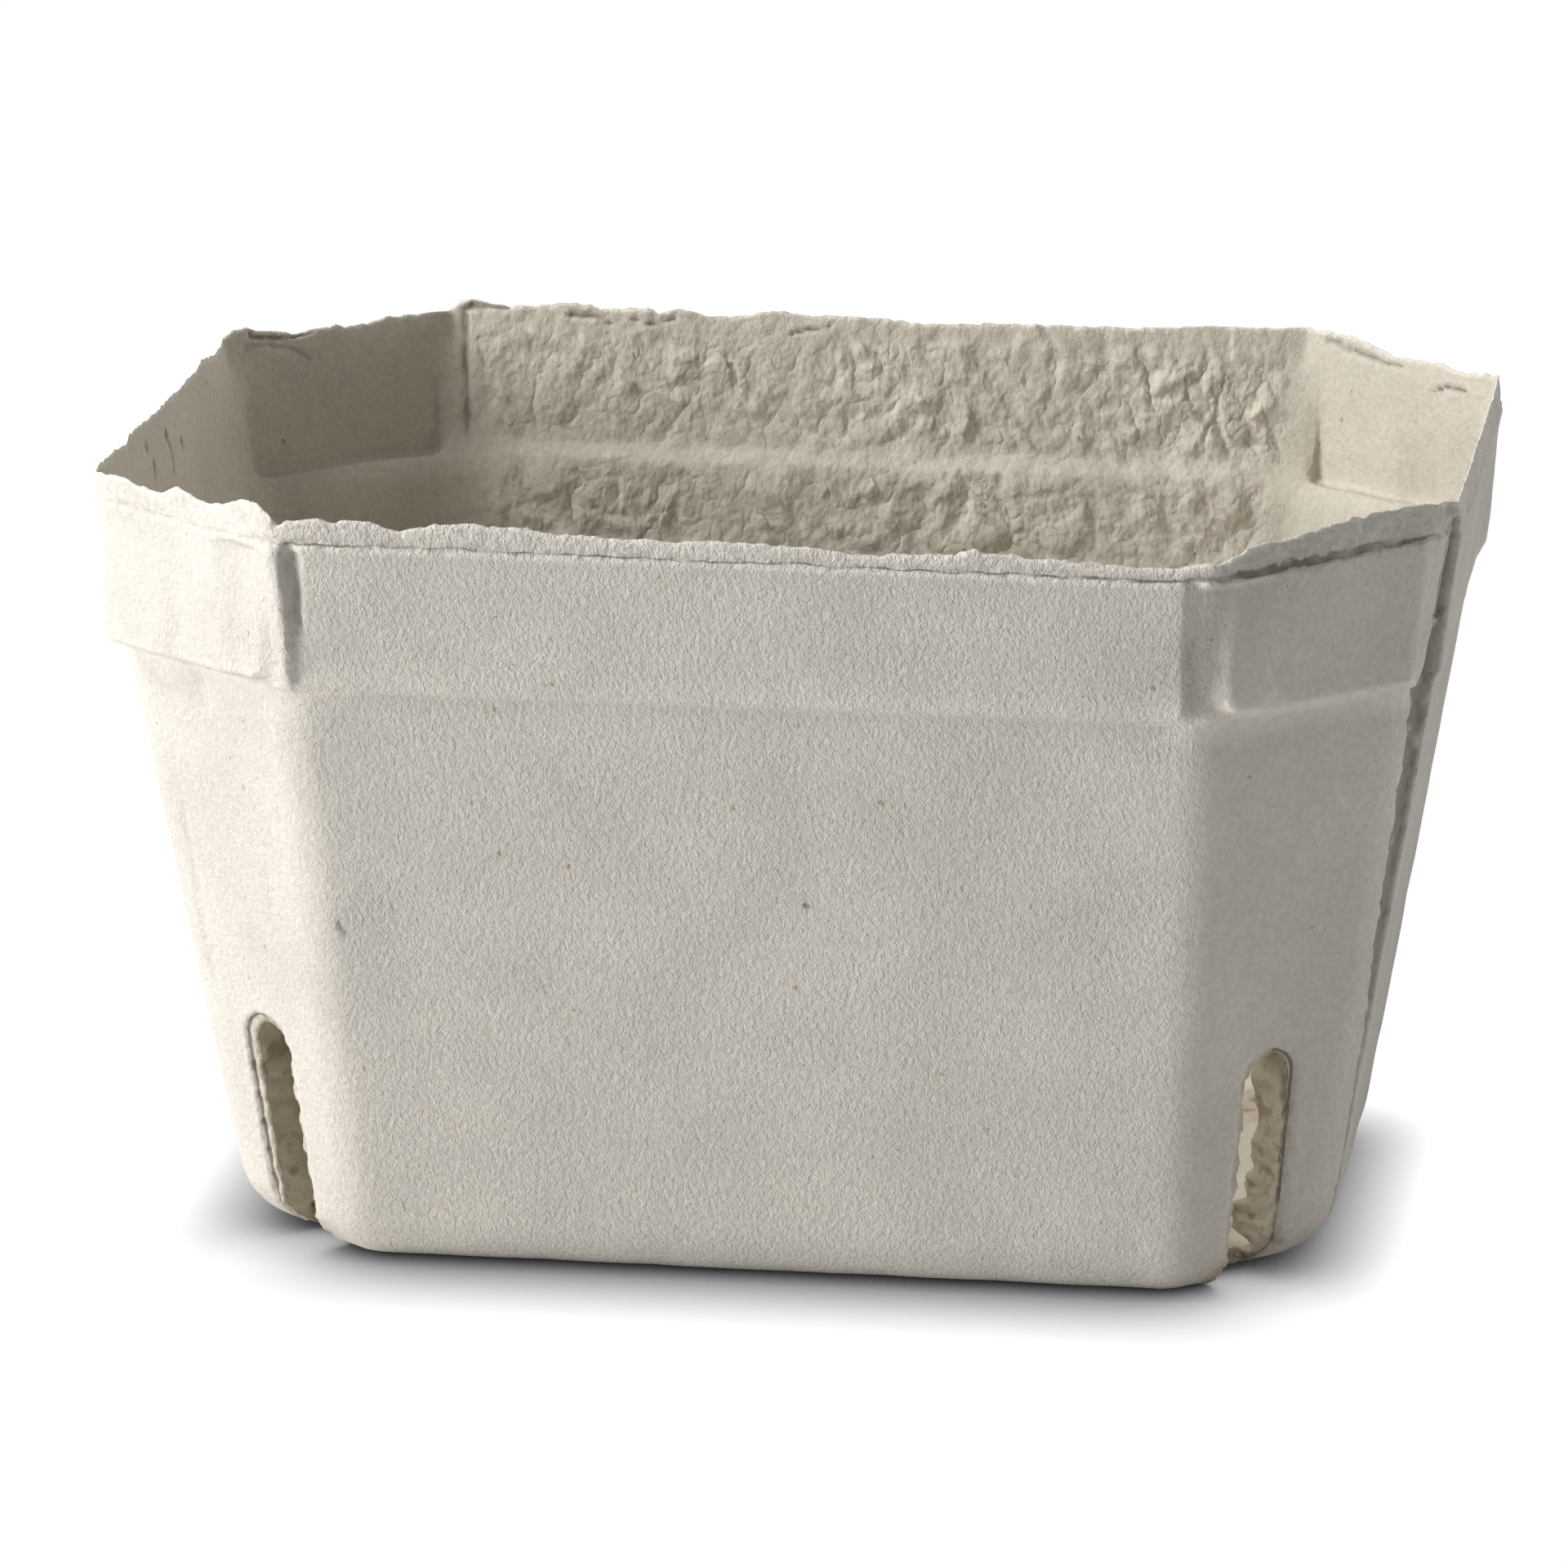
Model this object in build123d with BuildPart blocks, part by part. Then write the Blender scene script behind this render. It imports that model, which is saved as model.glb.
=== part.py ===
"""A moulded pulp punnet: one tapered tub with cut corners, a stepped rim band, four vents and a torn rim.

Millimetres, +Z up. The origin is the middle of the flat underside. The length runs along X.
The tub is symmetrical about its two middle planes, apart from its torn top edge.
"""
from build123d import *
from math import atan2, degrees, hypot, pi, radians, sin, tan
import os

os.makedirs("parts", exist_ok=True)

# Outer sizes at the line where the torn strip starts
rim_length = 182.0
rim_width = 126.0
rim_height = 104.7
# How far each cut corner reaches along the length. Its reach along the width is a share of that
corner_cut = 29.2
cut_slope_share = 0.8
# All the sides lean in towards the base by this angle
draft_angle = 9.5

# Walls of pressed pulp
wall = 2.6
band_wall = 1.8
floor_wall = 2.6

# Rounding of the tub below the band
corner_radius = 10.5
base_radius = 9.5

# The band below the rim stands out by a small step
band_height = 20.2
band_step = 0.7
band_corner_radius = 8.0
# The ledge inside starts above the shoulder and slopes outwards as it rises
ledge_lift = 2.6
ledge_rise = 2.0

# The proud pad on the band's part of each cut corner. It stands out most at its foot
pad_foot_step = 3.5
pad_foot_lift = 0.9
pad_top_step = 0.4
pad_trim = 0.8
pad_foot_radius = 1.6
pad_side_radius = 3.4

# Narrow valleys and long flutes are pressed in by slim many-sided needles
needle_sides = 6

# The valleys lie beside the rounded corners and are pointed at the foot
valley_radius = 1.7
valley_offset = 2.8
valley_tip_radius = 0.3
valley_length = 17.0

# The flutes run down each end wall, beside the corner columns, with a rib behind each
flute_radius = 2.6
flute_tip_radius = 0.4
flute_foot_height = 15.0
flute_offset = 3.4
flute_stand_off = 0.8
rib_wall = 1.6

# A vent through each cut corner, from its round top down through the rounded edge of the base
vent_width = 6.6
vent_top_height = 33.0
vent_reach = 7.5
vent_frame_width = 9.4
vent_frame_depth = 0.6
collar_wall = 1.9
collar_reach = 5.0

# The strip of torn pulp above the rim line, with a crease at its foot
torn_height = 3.4
torn_set_back = 0.3
crease_height = 0.7
crease_depth = 0.8
# The torn edge rolls in a long and a short wave and is frayed by a third
torn_pitch = 2.2
torn_long_wave = 29.0
torn_short_wave = 12.6
torn_fray_wave = 5.3
torn_long_share = 0.09
torn_short_share = 0.07
torn_fray_share = 0.06
# How high the strip stands at the eight corners, from the left end's near corner and round to the right
torn_corner_shares = (1.0, 0.95, 0.6, 1.6, 1.0, 1.0, 1.05, 1.0)
# How much higher it stands at the middle of the side that follows each corner
torn_middle_shares = (0.3, 0.15, -0.15, 0.0, -0.2, -0.05, -0.3, -0.45)

# Room that the cutting shapes take past the surfaces
overrun = 4.0

shoulder_height = rim_height - band_height
blank_height = rim_height + max(torn_corner_shares) * torn_height + overrun
cut_diagonal_share = hypot(1, cut_slope_share)
# How much the cut shortens when all the sides move in by one
cut_loss_share = 1 - (cut_diagonal_share - 1) / cut_slope_share


def octagon_corners(height, inset):
    """Corners of the tub's outline at a height, with its sides moved in, from the left end's near corner."""
    moved = inset + (rim_height - height) * tan(radians(draft_angle))
    x = rim_length / 2 - moved
    y = rim_width / 2 - moved
    cut_x = corner_cut - moved * cut_loss_share
    cut_y = cut_x * cut_slope_share
    return [
        (-x, cut_y - y), (cut_x - x, -y), (x - cut_x, -y), (x, cut_y - y),
        (x, y - cut_y), (x - cut_x, y), (cut_x - x, y), (-x, y - cut_y),
    ]


def corner_point(number, height, inset):
    """One of the tub's corners at a height."""
    return Vector(*octagon_corners(height, inset)[number], height)


def octagon(height, inset):
    """The tub's outline at a height, with its sides moved in."""
    with BuildSketch(Plane.XY.offset(height)) as outline:
        with BuildLine():
            Polyline(*octagon_corners(height, inset), close=True)
        make_face()
    return outline.sketch


def draw_block(part, height, top_height, inset, top_inset):
    """Draws the outline up from one height to another in the open part, with leaning sides."""
    rise = top_height - height
    lean = degrees(atan2(rise * tan(radians(draft_angle)) + inset - top_inset, rise))
    extrude(octagon(height, inset), amount=rise)
    sides = part.faces().filter_by(Plane.XY, reverse=True)
    draft(sides, neutral_plane=Plane.XY.offset(height), angle=-lean)


def slanted_edges(part):
    """The edges that run up a shape."""
    return part.edges().filter_by(lambda edge: abs(edge.tangent_at(0).Z) > 0.5)


def at_four_corners(shape, mode):
    """Joins or cuts a shape of the near right corner at all four corners of the open part."""
    add(shape, mode=mode)
    mirror(shape, about=Plane.YZ, mode=mode)
    mirror(shape, about=Plane.XZ, mode=mode)
    mirror(mirror(shape, about=Plane.YZ, mode=Mode.PRIVATE), about=Plane.XZ, mode=mode)


def cut_corner_face():
    """The sloping outer face of the near right cut corner, its x along the corner and y up the slope."""
    foot = (corner_point(2, 0, 0) + corner_point(3, 0, 0)) / 2
    top = (corner_point(2, rim_height, 0) + corner_point(3, rim_height, 0)) / 2
    along = Vector(1, cut_slope_share, 0)
    return Plane(origin=foot, x_dir=along, z_dir=along.cross(top - foot))


def draw_pad(foot_height, depth, trim):
    """Draws the wedge on the near right cut corner, lowered by a depth and trimmed, in the open part."""
    face = cut_corner_face()
    ends = ((2, foot_height, 1), (3, foot_height, -1), (3, rim_height, -1), (2, rim_height, 1))
    points = [face.to_local_coords(corner_point(number, height, 0)) for number, height, inwards in ends]
    with BuildSketch(face) as outline:
        with BuildLine():
            Polyline(*[(point.X + end[2] * trim, point.Y) for point, end in zip(points, ends)], close=True)
        make_face()
    extrude(outline.sketch, amount=pad_foot_step + overrun)
    extrude(outline.sketch, amount=-overrun - wall)
    shoulder = face.to_local_coords(corner_point(2, shoulder_height, 0))
    foot = face.from_local_coords(Vector(0, shoulder.Y, pad_foot_step))
    top = face.from_local_coords(Vector(0, points[-1].Y, pad_top_step))
    front = Plane(origin=foot, x_dir=face.x_dir, z_dir=face.x_dir.cross(top - foot))
    split(bisect_by=front.offset(-depth), keep=Keep.BOTTOM)


def needle_sections(foot_point, foot_radius, top_point, top_radius):
    """The two end sections of a slim needle."""
    path = top_point - foot_point
    sections = []
    for point, radius in ((foot_point, foot_radius), (top_point, top_radius)):
        with BuildSketch(Plane(origin=point, z_dir=path)) as section:
            RegularPolygon(radius, needle_sides)
        sections.append(section.sketch)
    return sections


def valley_point(number, height, radius):
    """A point of a valley's middle line, beside the near right pad, on the long side or the end wall."""
    corner = corner_point(number, height, 0)
    if number == 2:
        return corner + Vector(-valley_offset, -radius / 2, 0)
    return corner + Vector(radius / 2, valley_offset, 0)


def flute_point(height):
    """A point of the near right flute's middle line, which runs in the end wall beside the column."""
    return corner_point(3, height, 0) + Vector(flute_stand_off, flute_offset, 0)


def vent_outline(width, top_height):
    """A slot with a round top on the sloping outer face of the near right cut corner, open at its foot."""
    with BuildSketch(cut_corner_face()) as outline:
        with Locations((0, -overrun)):
            Rectangle(width, top_height - width / 2 + overrun, align=(Align.CENTER, Align.MIN))
        with Locations((0, top_height - width / 2)):
            Circle(width / 2)
    return outline.sketch


def torn_line(side, length):
    """The torn edge of one side, as points along the side and above the rim line."""
    start = torn_corner_shares[side]
    end = torn_corner_shares[(side + 1) % 8]
    steps = round(length / torn_pitch)
    points = []
    for step in range(steps + 1):
        share = step / steps
        place = share * length
        level = start + (end - start) * share + 4 * torn_middle_shares[side] * share * (1 - share)
        fade = min(1, 4 * share, 4 - 4 * share)
        roll = torn_long_share * sin(2 * pi * place / torn_long_wave + side)
        roll += torn_short_share * sin(2 * pi * place / torn_short_wave + 2 * side)
        roll += torn_fray_share * sin(2 * pi * place / torn_fray_wave + roll / torn_fray_share)
        points.append((place, torn_height * (level + fade * roll)))
    return points


# The pad on the near right cut corner
outwards = Axis((0, 0, 0), cut_corner_face().z_dir)
with BuildPart() as pad:
    draw_pad(shoulder_height + pad_foot_lift, 0, pad_trim)
    fillet(pad.faces().sort_by(Axis.Z)[0].edges().group_by(outwards)[-1], pad_foot_radius)
    fillet(slanted_edges(pad).group_by(outwards)[-1], pad_side_radius)

# The hollow behind the pad, so that the wall keeps its thickness
with BuildPart() as pad_hollow:
    draw_pad(shoulder_height + ledge_lift, band_wall, pad_trim + band_wall)

# One valley on each side of the pad
with BuildPart() as valleys:
    for number in (2, 3):
        foot = valley_point(number, rim_height - valley_length, valley_tip_radius)
        top = valley_point(number, rim_height, valley_radius)
        loft(needle_sections(foot, valley_tip_radius, top, valley_radius), ruled=True)

# The flute of the end wall, and the thicker needle that keeps pulp behind it
flute_foot = flute_point(flute_foot_height)
flute_top = flute_point(shoulder_height)
with BuildPart() as flute:
    loft(needle_sections(flute_foot, flute_tip_radius, flute_top, flute_radius), ruled=True)
with BuildPart() as flute_rib:
    loft(needle_sections(flute_foot, flute_tip_radius + rib_wall,
                         flute_top, flute_radius + rib_wall), ruled=True)

# The vent, the shallow frame pressed round it, and the collar of turned-in pulp
with BuildPart() as vent:
    extrude(vent_outline(vent_width, vent_top_height), amount=overrun)
    extrude(vent_outline(vent_width, vent_top_height), amount=-vent_reach)
with BuildPart() as vent_frame:
    frame_outline = vent_outline(vent_frame_width, vent_top_height + (vent_frame_width - vent_width) / 2)
    extrude(frame_outline, amount=overrun)
    extrude(frame_outline, amount=-vent_frame_depth)
with BuildPart() as collar:
    extrude(vent_outline(vent_width + 2 * collar_wall, vent_top_height + collar_wall), amount=-collar_reach)

# The hollow below the ledge
with BuildPart() as hollow:
    draw_block(hollow, floor_wall, shoulder_height + ledge_lift, wall, wall)
    fillet(slanted_edges(hollow), corner_radius - wall)
    fillet(hollow.edges().group_by(Axis.Z)[0], base_radius - floor_wall)
    at_four_corners(collar.part, Mode.SUBTRACT)
    at_four_corners(flute_rib.part, Mode.SUBTRACT)

# The sloping ledge, and the hollow of the band above it
ledge_top_height = shoulder_height + ledge_lift + ledge_rise
with BuildPart() as ledge_hollow:
    draw_block(ledge_hollow, shoulder_height + ledge_lift, ledge_top_height, wall, band_wall - band_step)
with BuildPart() as band_hollow:
    draw_block(band_hollow, ledge_top_height, blank_height + overrun, band_wall - band_step, band_wall)
    at_four_corners(pad_hollow.part, Mode.ADD)

# The band, with its valleys
with BuildPart() as band:
    draw_block(band, shoulder_height, rim_height, -band_step, 0)
    fillet(slanted_edges(band), band_corner_radius)
    at_four_corners(valleys.part, Mode.SUBTRACT)

# The strip above the rim line, with the crease at its foot and its torn top edge, cut side by side
with BuildPart() as strip:
    draw_block(strip, rim_height, blank_height, torn_set_back, torn_set_back)
    fillet(slanted_edges(strip), band_corner_radius)
    with BuildSketch(Plane.XY.offset(rim_height)):
        add(octagon(rim_height, -overrun))
        add(octagon(rim_height, crease_depth), mode=Mode.SUBTRACT)
    extrude(amount=crease_height, mode=Mode.SUBTRACT)
    corners = octagon_corners(rim_height, 0)
    room = blank_height - rim_height + overrun
    for side in range(8):
        start = Vector(*corners[side])
        along = Vector(*corners[(side + 1) % 8]) - start
        line = torn_line(side, along.length)
        ends = ((-overrun / 2, line[0][1]), (along.length + overrun / 2, line[-1][1]))
        origin = (start.X, start.Y, rim_height)
        with BuildSketch(Plane(origin=origin, x_dir=along, z_dir=(along.Y, -along.X, 0))):
            with BuildLine():
                Polyline(ends[0], *line, ends[1], (ends[1][0], room), (ends[0][0], room), close=True)
            make_face()
        extrude(amount=overrun, both=True, mode=Mode.SUBTRACT)

with BuildPart() as punnet:
    draw_block(punnet, 0, shoulder_height, 0, 0)
    fillet(slanted_edges(punnet), corner_radius)
    fillet(punnet.edges().group_by(Axis.Z)[0], base_radius)
    add(band.part)
    add(strip.part)
    at_four_corners(pad.part, Mode.ADD)
    at_four_corners(flute.part, Mode.SUBTRACT)
    add(hollow.part, mode=Mode.SUBTRACT)
    add(ledge_hollow.part, mode=Mode.SUBTRACT)
    add(band_hollow.part, mode=Mode.SUBTRACT)
    at_four_corners(vent_frame.part, Mode.SUBTRACT)
    at_four_corners(vent.part, Mode.SUBTRACT)

punnet.part.label = "punnet"
export_step(punnet.part, "parts/punnet.step")
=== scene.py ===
"""Finishes a moulded pulp punnet: its felted walls, torn rim, cracks and pulp colour, on a plain stage."""
from itertools import product
from math import radians

import bpy
import numpy as np
from bpy.props import FloatProperty, FloatVectorProperty, IntProperty, PointerProperty
from bpy.types import Operator, Panel, PropertyGroup
from mathutils import Matrix, Vector


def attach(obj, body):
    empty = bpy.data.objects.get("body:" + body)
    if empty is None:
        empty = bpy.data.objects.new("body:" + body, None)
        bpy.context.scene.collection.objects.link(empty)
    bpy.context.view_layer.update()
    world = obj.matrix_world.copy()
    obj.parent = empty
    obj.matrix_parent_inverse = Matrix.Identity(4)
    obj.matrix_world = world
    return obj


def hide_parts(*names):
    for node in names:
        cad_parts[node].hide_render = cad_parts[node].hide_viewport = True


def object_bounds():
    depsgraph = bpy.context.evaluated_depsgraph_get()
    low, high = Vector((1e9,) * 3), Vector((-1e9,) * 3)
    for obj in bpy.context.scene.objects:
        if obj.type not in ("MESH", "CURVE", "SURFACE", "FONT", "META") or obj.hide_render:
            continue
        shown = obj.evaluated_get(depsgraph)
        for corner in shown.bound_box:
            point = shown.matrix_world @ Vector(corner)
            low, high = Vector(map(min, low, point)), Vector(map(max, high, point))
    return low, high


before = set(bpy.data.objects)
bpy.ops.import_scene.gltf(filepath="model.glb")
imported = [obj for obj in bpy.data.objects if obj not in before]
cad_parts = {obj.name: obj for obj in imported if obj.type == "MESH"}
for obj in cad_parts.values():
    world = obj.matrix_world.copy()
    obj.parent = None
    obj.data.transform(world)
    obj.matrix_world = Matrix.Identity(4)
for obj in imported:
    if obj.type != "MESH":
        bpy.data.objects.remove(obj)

bl_info = {
    "name": "Pulp punnet",
    "version": (1, 0, 0),
    "blender": (4, 5, 0),
    "location": "View3D > Sidebar > Punnet",
    "description": "Moulds the pulp surface of a tapered punnet and lights it on a plain stage",
    "category": "Object",
}

CAD_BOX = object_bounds()


class PunnetSizes(PropertyGroup):
    """The tub's own sizes, which say where its walls, corners, vents and torn strip are."""

    rim_length: FloatProperty(
        name="Rim length", description="Outer length at the line below the torn strip",
        default=0.182, unit="LENGTH")
    rim_width: FloatProperty(
        name="Rim width", description="Outer width at the line below the torn strip",
        default=0.126, unit="LENGTH")
    rim_height: FloatProperty(
        name="Rim height", description="Height of the line below the torn strip",
        default=0.1047, unit="LENGTH")
    corner_cut: FloatProperty(
        name="Corner cut", description="How far each cut corner reaches along the length",
        default=0.0292, unit="LENGTH")
    cut_slope_share: FloatProperty(
        name="Cut slope", description="Reach of a cut corner along the width, as a share of its reach along the length",
        default=0.8)
    draft: FloatProperty(
        name="Draft", description="How far the walls lean",
        default=radians(9.5), subtype="ANGLE", unit="ROTATION")
    shoulder_height: FloatProperty(
        name="Shoulder height", description="Height of the foot of the rim band",
        default=0.0845, unit="LENGTH")
    vent_top: FloatProperty(
        name="Vent top", description="Height of the top of the vents",
        default=0.033, unit="LENGTH")
    vent_width: FloatProperty(
        name="Vent width", description="Width of the vents' openings",
        default=0.0066, unit="LENGTH")
    rim_strip_middle: FloatProperty(
        name="Rim strip middle", description="Depth of the middle of the torn strip below the outer face",
        default=0.0016, unit="LENGTH")


class PulpSurface(PropertyGroup):
    """How rough the pulp is, and how finely it is modelled."""

    voxel: FloatProperty(
        name="Voxel", description="Grain of the mesh that the pulp surface is pressed into",
        default=0.0005, unit="LENGTH", precision=5)
    triangles: IntProperty(
        name="Triangles", description="How many triangles the finished tub has at most",
        default=196000)
    seed: IntProperty(
        name="Seed", description="Start of the pulp's random patterns",
        default=7)
    felt_height: FloatProperty(
        name="Felt height", description="Height of the lumps on the inner side of the long walls",
        default=0.0012, unit="LENGTH", precision=5)
    felt_cell: FloatProperty(
        name="Felt lump", description="Breadth of the lumps on the inner side",
        default=0.0048, unit="LENGTH", precision=5)
    cloud_height: FloatProperty(
        name="Cloud height", description="Height of the soft swells on the outer side",
        default=0.00012, unit="LENGTH", precision=5)
    cloud_cell: FloatProperty(
        name="Cloud breadth", description="Breadth of the soft swells on the outer side",
        default=0.011, unit="LENGTH", precision=5)
    fray_height: FloatProperty(
        name="Fray height", description="How far the torn edge's fibres rise and fall",
        default=0.0004, unit="LENGTH", precision=5)
    fray_cell: FloatProperty(
        name="Fray length", description="Length of the frayed bits along the torn edge",
        default=0.0021, unit="LENGTH", precision=5)
    vent_roughness: FloatProperty(
        name="Vent roughness", description="How ragged the pulp round the vents is",
        default=0.00045, unit="LENGTH", precision=5)
    collar_growth: FloatProperty(
        name="Collar growth", description="Share of its length that each vent's ragged collar reaches further in",
        default=0.85)


class PulpColours(PropertyGroup):
    """The colours of the pulp, and of the shade and highlights painted on it."""

    smooth_side: FloatVectorProperty(
        name="Smooth side", description="Colour of the outer, wire-formed side",
        default=(0.588, 0.551, 0.497), subtype="COLOR", size=3, min=0, max=1)
    felt_side: FloatVectorProperty(
        name="Felt side", description="Colour of the inner, felted side",
        default=(0.562, 0.519, 0.438), subtype="COLOR", size=3, min=0, max=1)
    # Pale fibres of the torn edge, and also the painted highlight on the bead under the crease.
    torn_edge_and_highlight: FloatVectorProperty(
        name="Torn edge", description="Colour of freshly torn fibres",
        default=(0.700, 0.670, 0.610), subtype="COLOR", size=3, min=0, max=1)
    # Painted shade: this colour stands in for the shade deep inside cracks, creases and the vents' frame lines.
    crack: FloatVectorProperty(
        name="Crack", description="Colour deep inside cracks and creases",
        default=(0.170, 0.150, 0.120), subtype="COLOR", size=3, min=0, max=1)
    brown: FloatVectorProperty(
        name="Brown", description="Colour of the brown specks and of the pulp inside the vents",
        default=(0.230, 0.165, 0.085), subtype="COLOR", size=3, min=0, max=1)
    # Inside the vents this colour is partly the pulp's own and partly painted shade; the felt side's stains use it too.
    vent_side: FloatVectorProperty(
        name="Vent side", description="Colour of the collars inside the vents",
        default=(0.450, 0.390, 0.290), subtype="COLOR", size=3, min=0, max=1)


class StudioSettings(PropertyGroup):
    """The camera and the lights."""

    yaw: FloatProperty(
        name="Yaw", description="How far the camera stands round to the right",
        default=radians(8.8404), subtype="ANGLE", unit="ROTATION")
    elevation: FloatProperty(
        name="Elevation", description="How steeply the camera looks down",
        default=radians(16.2911), subtype="ANGLE", unit="ROTATION")
    roll: FloatProperty(
        name="Roll", description="Turn of the camera about its view",
        default=radians(-0.2298), subtype="ANGLE", unit="ROTATION")
    eye: FloatVectorProperty(
        name="Eye", description="Where the camera stands",
        default=(0.17163, -1.12900, 0.39064), subtype="TRANSLATION", unit="LENGTH", size=3)
    lens: FloatProperty(
        name="Lens", description="Focal length in millimetres",
        default=199.32)
    high_power: FloatProperty(
        name="High light", description="Power of the soft lamp high on the left",
        default=22.6, unit="POWER")
    low_power: FloatProperty(
        name="Low light", description="Power of the soft lamp low on the left",
        default=21.4, unit="POWER")
    back_power: FloatProperty(
        name="Back light", description="Power of the weak lamp at the right end",
        default=7.9, unit="POWER")
    sky_strength: FloatProperty(
        name="Sky strength", description="Strength of the even light from all round",
        default=0.250)
    shadow_reach: FloatProperty(
        name="Shadow reach", description="How far the tub's soft shadow reaches over the floor",
        default=0.0108, unit="LENGTH")


# Height of the torn edge above the rim line, in millimetres, by compass angle about the tub's middle:
# from the left end by the near side, the right end and the far side back to the left end
TORN_EDGE = (
    (-180.0, 2.5), (-177.9, 2.6), (-175.8, 2.8), (-173.3, 2.8), (-169.6, 3.4), (-168.3, 3.3), (-167.2, 2.2),
    (-164.3, 2.9), (-162.2, 3.3), (-159.0, 3.4), (-157.0, 3.5), (-156.4, 3.0), (-155.0, 3.1), (-153.6, 3.4),
    (-151.3, 3.0), (-148.5, 2.8), (-147.4, 3.7), (-146.5, 4.3), (-145.6, 4.0), (-143.6, 3.4), (-142.4, 3.1),
    (-140.9, 3.6), (-139.7, 4.5), (-138.2, 5.1), (-136.9, 5.1), (-135.7, 4.7), (-134.8, 4.0), (-134.2, 2.9),
    (-133.9, 2.6), (-133.4, 3.3), (-131.7, 3.7), (-130.0, 3.5), (-127.8, 3.6), (-127.0, 3.1), (-125.3, 2.4),
    (-124.0, 3.1), (-120.8, 3.7), (-116.2, 3.5), (-114.1, 3.6), (-113.4, 3.1), (-112.5, 2.8), (-107.7, 2.8),
    (-104.1, 2.3), (-100.3, 2.5), (-97.4, 2.2), (-93.5, 2.6), (-85.6, 2.3), (-80.8, 2.2), (-76.6, 1.4),
    (-72.0, 1.5), (-67.0, 1.9), (-64.0, 2.4), (-61.5, 2.2), (-58.5, 1.7), (-54.5, 1.7), (-50.5, 1.0), (-47.5, 1.3),
    (-46.4, 1.9), (-45.3, 1.9), (-44.1, 2.0), (-43.3, 2.6), (-41.8, 3.1), (-39.5, 3.9), (-37.1, 3.9), (-35.6, 4.5),
    (-33.4, 4.8), (-32.0, 5.2), (-29.8, 5.3), (-28.4, 5.4), (-25.2, 5.4), (-20.0, 4.6), (-12.0, 4.1), (0.0, 3.7),
    (12.0, 3.4), (20.0, 3.2), (23.8, 3.3), (25.4, 3.0), (26.6, 2.5), (27.9, 2.8), (29.5, 3.1), (33.8, 2.7),
    (35.2, 2.6), (37.3, 3.5), (39.3, 3.9), (45.4, 3.8), (48.8, 3.5), (52.6, 3.6), (58.4, 3.0), (66.8, 3.0),
    (76.5, 2.9), (81.7, 2.6), (87.1, 2.9), (91.5, 3.4), (99.0, 3.2), (102.1, 3.7), (105.2, 3.5), (107.7, 2.8),
    (111.3, 2.7), (113.0, 3.4), (114.4, 3.7), (116.2, 3.1), (119.6, 3.6), (122.2, 3.0), (123.5, 3.9),
    (126.1, 4.0), (128.2, 3.4), (130.2, 3.3), (133.2, 4.1), (133.9, 3.9), (134.6, 2.9), (135.1, 2.5),
    (137.7, 2.5), (141.0, 2.8), (144.3, 2.1), (147.4, 2.6), (150.5, 2.2), (151.9, 2.6), (153.3, 3.1),
    (154.6, 3.8), (155.6, 4.0), (156.6, 2.4), (157.4, 1.8), (159.1, 1.4), (162.3, 2.3), (164.2, 2.9),
    (166.1, 2.2), (172.2, 2.2), (176.0, 2.4), (180.0, 2.5),
)
# How far the rim line rises or sinks, and half the width of the crease above it, in millimetres, by angle
RIM_LINE = ((-180, 0.0), (-125, 0.0), (-100, -0.2), (-80, -0.35), (-70, -0.45), (-62, -0.6), (-52, -0.8),
            (-45, -0.8), (-42, -0.3), (-37, 0.0), (-33, 0.4), (-28, 0.7), (-24, 0.6), (-18, 0.0), (180, 0.0))
CREASE_WIDTH = ((-180, 0.07), (-138, 0.07), (-132, 0.13), (-60, 0.13), (-50, 0.2), (-44, 0.22), (-38, 0.30),
                (-33, 0.42), (-28, 0.30), (-25, 0.18), (-22, 0.0), (24, 0.0), (28, 0.13), (180, 0.07))
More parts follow.
